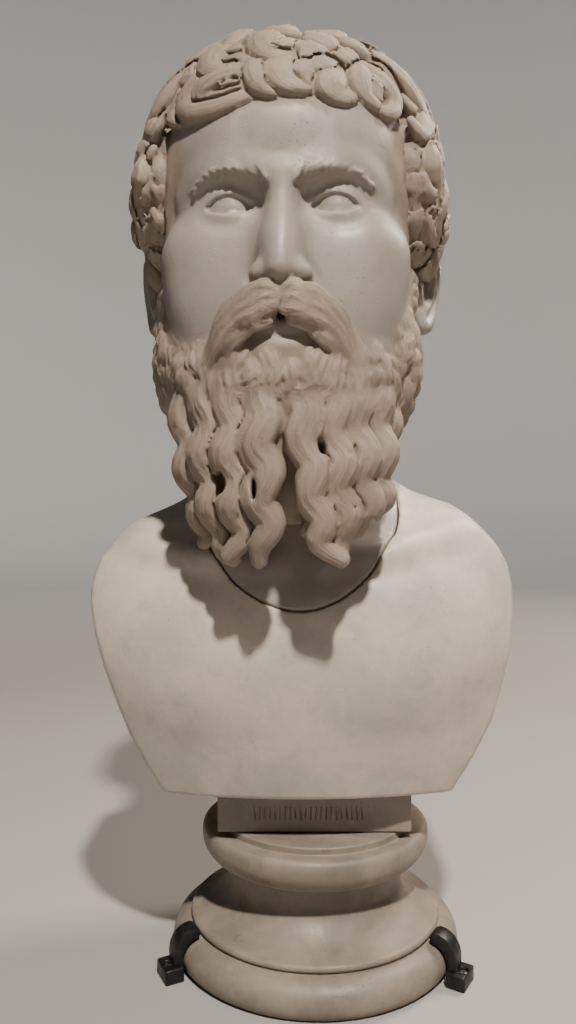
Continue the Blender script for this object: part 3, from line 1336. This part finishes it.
CAMERA_AT = (-0.020, -0.600, 0.319)
FLOOR = ((1500, 0), (3000, 0))
WALL = ((3000, 0), (4200, 0), (4200, 1400))
WALL_TOP = (4200, 5200)
LAMPS_AIM = (0, 0, 0.4)
LAMPS = {  # where each lamp hangs, how wide it is, its share of the main lamp's power, and its colour
    "key_light": ((0.24, -1.36, 2.14), 0.12, 1.0, (1.0, 0.93, 0.85)),
    "side_light": ((-1.4, -1.0, 0.9), 1.2, 0.009, (0.92, 0.96, 1.0)),
    "back_light": ((1.1, 0.7, 1.7), 0.8, 0.45, (1.0, 0.87, 0.76)),
}


class BUST_OT_head(bpy.types.Operator):
    """Carves the head, hair, beard and neck from one block"""
    bl_idname = "bust.head"
    bl_label = "Head"

    def execute(self, context):
        colours = context.scene.bust_marble
        head = add_carved("head_marble", carve_head(), head_frame(), HEAD_FACES)
        finish = marble("carved_marble", colours, colours.face, tone(colours.cloud, 0.66),
                        dirt_share=0.32, polish=0.47, clouds=22, stains=0.05)
        dress(head, finish, "head")
        return {"FINISHED"}


class BUST_OT_chest(bpy.types.Operator):
    """Carves the cut-off chest with its hollowed back and pillar"""
    bl_idname = "bust.chest"
    bl_label = "Chest"

    def execute(self, context):
        colours = context.scene.bust_marble
        chest = add_carved("chest_marble", carve_chest(), Matrix.Identity(4), CHEST_FACES)
        finish = marble("chest_marble", colours, colours.light, colours.cloud)
        dress(chest, finish, "chest")
        return {"FINISHED"}


class BUST_OT_tablet(bpy.types.Operator):
    """Cuts the tablet under the chest, with a row of worn strokes"""
    bl_idname = "bust.tablet"
    bl_label = "Tablet"

    def execute(self, context):
        sizes, colours = context.scene.bust_sizes, context.scene.bust_marble
        half = (sizes.tablet_width / 2 / MM, sizes.tablet_depth / 2 / MM)
        bottom, top = TABLET_HEIGHTS
        low = [a - h for a, h in zip(TABLET_AT, half)] + [bottom]
        high = [a + h for a, h in zip(TABLET_AT, half)] + [top]
        tablet = add_block(low, high)
        apply_modifier(tablet, "BEVEL", width=sizes.tablet_edge, segments=3)
        if sizes.strokes:
            cut_away(tablet, add_strokes(sizes.strokes, *STROKE_ROW, low[1]))
        bpy.ops.object.shade_smooth_by_angle(angle=math.radians(35))
        measure_folds(tablet)
        finish = marble("tablet_marble", colours, colours.tablet, tone(colours.cloud, 0.5), dirt_share=0.7,
                        stains=0.3)
        tablet.name = tablet.data.name = "tablet_marble"
        dress(tablet, finish, "chest")
        return {"FINISHED"}


class BUST_OT_socle(bpy.types.Operator):
    """Turns the round socle"""
    bl_idname = "bust.socle"
    bl_label = "Socle"

    def execute(self, context):
        colours = context.scene.bust_marble
        socle = settle(add_turned(socle_profile(), context.scene.bust_sizes.socle_sides), "socle_marble")
        bpy.ops.object.shade_smooth_by_angle(angle=math.radians(50))
        measure_folds(socle)
        finish = marble("socle_stone", colours, colours.socle, tone(colours.socle, 0.74), polish=0.5,
                        clouds=20, stains=0.4, foot=0.006)
        dress(socle, finish, "socle")
        return {"FINISHED"}


class BUST_OT_clips(bpy.types.Operator):
    """Bends the two clips over the socle's foot"""
    bl_idname = "bust.clips"
    bl_label = "Clips"

    def execute(self, context):
        sizes = context.scene.bust_sizes
        finish = black_rubber("black_rubber", (0.006, 0.006, 0.007))
        half, height = sizes.clip_block / 2 / MM, CLIP_FOOT["height"]
        radius, rim = CLIP_HOLE["radius"], CLIP_HOLE["rim"]
        bore = [(radius, SCREW["seat"] - 0.4), (radius, height - CLIP_HOLE["rim_from"]), (rim, height + 0.4),
                (rim, height + 3)]
        for side, azimuth in CLIP_AZIMUTHS.items():
            clip = add_section("clip", CLIP_SECTION, sizes.clip_width / MM)
            foot = add_block((CLIP_FOOT["from"], -half, 0), (CLIP_FOOT["to"], half, height))
            apply_modifier(foot, "BEVEL", width=0.0012, segments=3)
            apply_modifier(clip, "BEVEL", width=0.0008, segments=2, limit_method="ANGLE")
            apply_modifier(clip, "BOOLEAN", object=foot, operation="UNION", solver="EXACT")
            bpy.data.objects.remove(foot)
            hole = settle(add_turned(bore, 40), "hole")
            hole.location.x = SCREW["at"] * MM
            settle(hole, "hole")
            cut_away(clip, hole)
            bpy.ops.object.shade_smooth_by_angle(angle=math.radians(40))
            turn_about_socle(clip, azimuth, f"clip_{side}_rubber")
            dress(clip, finish, f"clip_{side}")
        return {"FINISHED"}


class BUST_OT_screws(bpy.types.Operator):
    """Turns and slots the screw of each clip"""
    bl_idname = "bust.screws"
    bl_label = "Screws"

    def execute(self, context):
        radius = context.scene.bust_sizes.screw_radius / MM
        finish = bright_steel("bright_steel", (0.55, 0.54, 0.52))
        seat, top, half = SCREW["seat"], SCREW["seat"] + SCREW["head"], SCREW["slot"] / 2
        profile = [(radius - 0.2, seat), (radius, seat + 0.2), (radius, seat + SCREW["shoulder"] - 0.1)]
        profile += bezier((profile[-1], (radius, top - 0.1), (radius * 0.45, top)), 6)
        profile += [(radius * 0.2, top)]
        for side, azimuth in CLIP_AZIMUTHS.items():
            screw = add_turned(profile, 48)
            slot = add_block((-radius - 1, -half, top - SCREW["slot_deep"]), (radius + 1, half, top + 1))
            cut_away(screw, slot)
            screw.location.x = SCREW["at"] * MM
            settle(screw, "screw")
            bpy.ops.object.shade_smooth_by_angle(angle=math.radians(35))
            turn_about_socle(screw, azimuth, f"screw_{side}_steel")
            dress(screw, finish, f"screw_{side}")
        return {"FINISHED"}


class BUST_OT_stage(bpy.types.Operator):
    """Lays the studio floor, hangs the lights and sets up the camera"""
    bl_idname = "bust.stage"
    bl_label = "Stage"

    def execute(self, context):
        look = context.scene.bust_stage
        camera = bpy.data.objects.new("camera", bpy.data.cameras.new("camera"))
        context.collection.objects.link(camera)
        camera.location = CAMERA_AT
        camera.rotation_euler = (math.radians(90), 0, 0)
        camera.data.sensor_width = 36
        camera.data.lens = look.lens
        camera.data.clip_start = 0.02
        context.scene.camera = camera
        floor = self.lay_round("studio_floor", FLOOR, True)
        wall = self.lay_round("studio_wall", [WALL[0], *bezier(WALL, 14), WALL_TOP], False)
        wall.visible_diffuse = wall.visible_glossy = wall.visible_shadow = False
        for ground in (floor, wall):
            finish = Finish(ground.name)
            away = finish.add("ShaderNodeVectorMath", {"Vector": finish.place}, operation="LENGTH")
            away = away.outputs["Value"]
            shade = finish.mixed(finish.between(away, 0.8, 3.0), tone(look.floor), tone(look.wall))
            finish.show(Base_Color=shade, Emission_Color=tone(look.wall), Roughness=0.7,
                        Emission_Strength=finish.between(away, 1.5, 3.4, 0.0, 0.14))
            ground.data.materials.append(finish.material)
        for name, (at, size, share, colour) in LAMPS.items():
            self.hang_lamp(name, at, size, look.key * share, colour)
        world = bpy.data.worlds.new("studio")
        context.scene.world = world
        world.use_nodes = True
        air = world.node_tree.nodes["Background"]
        air.inputs["Color"].default_value = tone(look.air)
        air.inputs["Strength"].default_value = look.fill
        return {"FINISHED"}

    def lay_round(self, name, profile, filled):
        bpy.ops.object.select_all(action="DESELECT")
        bpy.ops.mesh.primitive_circle_add(vertices=96, radius=profile[0][0] * MM,
                                          fill_type="NGON" if filled else "NOTHING")
        ground = bpy.context.object
        bpy.ops.object.mode_set(mode="EDIT")
        bpy.ops.mesh.select_mode(type="EDGE")
        bpy.ops.mesh.select_all(action="SELECT")
        if filled:
            bpy.ops.mesh.region_to_loop()
        draw_along(profile)
        bpy.ops.object.mode_set(mode="OBJECT")
        bpy.ops.object.shade_smooth()
        return settle(ground, name)

    def hang_lamp(self, name, at, size, power, colour):
        lamp = bpy.data.lights.new(name, "AREA")
        lamp.shape, lamp.size, lamp.energy, lamp.color = "DISK", size, power, colour
        hung = bpy.data.objects.new(name, lamp)
        bpy.context.collection.objects.link(hung)
        hung.location = at
        hung.rotation_euler = (Vector(at) - Vector(LAMPS_AIM)).to_track_quat("Z", "Y").to_euler()


class BUST_PT_panel(bpy.types.Panel):
    """Lists the pieces of the bust and what can be changed"""
    bl_idname = "BUST_PT_panel"
    bl_label = "Marble portrait bust"
    bl_space_type = "VIEW_3D"
    bl_region_type = "UI"
    bl_category = "Bust"

    def draw(self, context):
        for group in (context.scene.bust_marble, context.scene.bust_sizes, context.scene.bust_stage):
            box = self.layout.box()
            for key in group.__annotations__:
                box.prop(group, key)
        for operator in OPERATORS:
            self.layout.operator(operator.bl_idname)


GROUPS = {"bust_marble": BustMarble, "bust_sizes": BustSizes, "bust_stage": BustStage}
OPERATORS = (BUST_OT_stage, BUST_OT_head, BUST_OT_chest, BUST_OT_tablet, BUST_OT_socle, BUST_OT_clips,
             BUST_OT_screws)
CLASSES = (*GROUPS.values(), *OPERATORS, BUST_PT_panel)


def register():
    for cls in CLASSES:
        bpy.utils.register_class(cls)
    for name, group in GROUPS.items():
        setattr(bpy.types.Scene, name, bpy.props.PointerProperty(type=group))


def unregister():
    for name in GROUPS:
        delattr(bpy.types.Scene, name)
    for cls in reversed(CLASSES):
        bpy.utils.unregister_class(cls)


def main():
    register()
    bpy.ops.bust.stage()
    bpy.ops.bust.head()
    bpy.ops.bust.chest()
    bpy.ops.bust.tablet()
    bpy.ops.bust.socle()
    bpy.ops.bust.clips()
    bpy.ops.bust.screws()


if __name__ == "__main__":
    main()
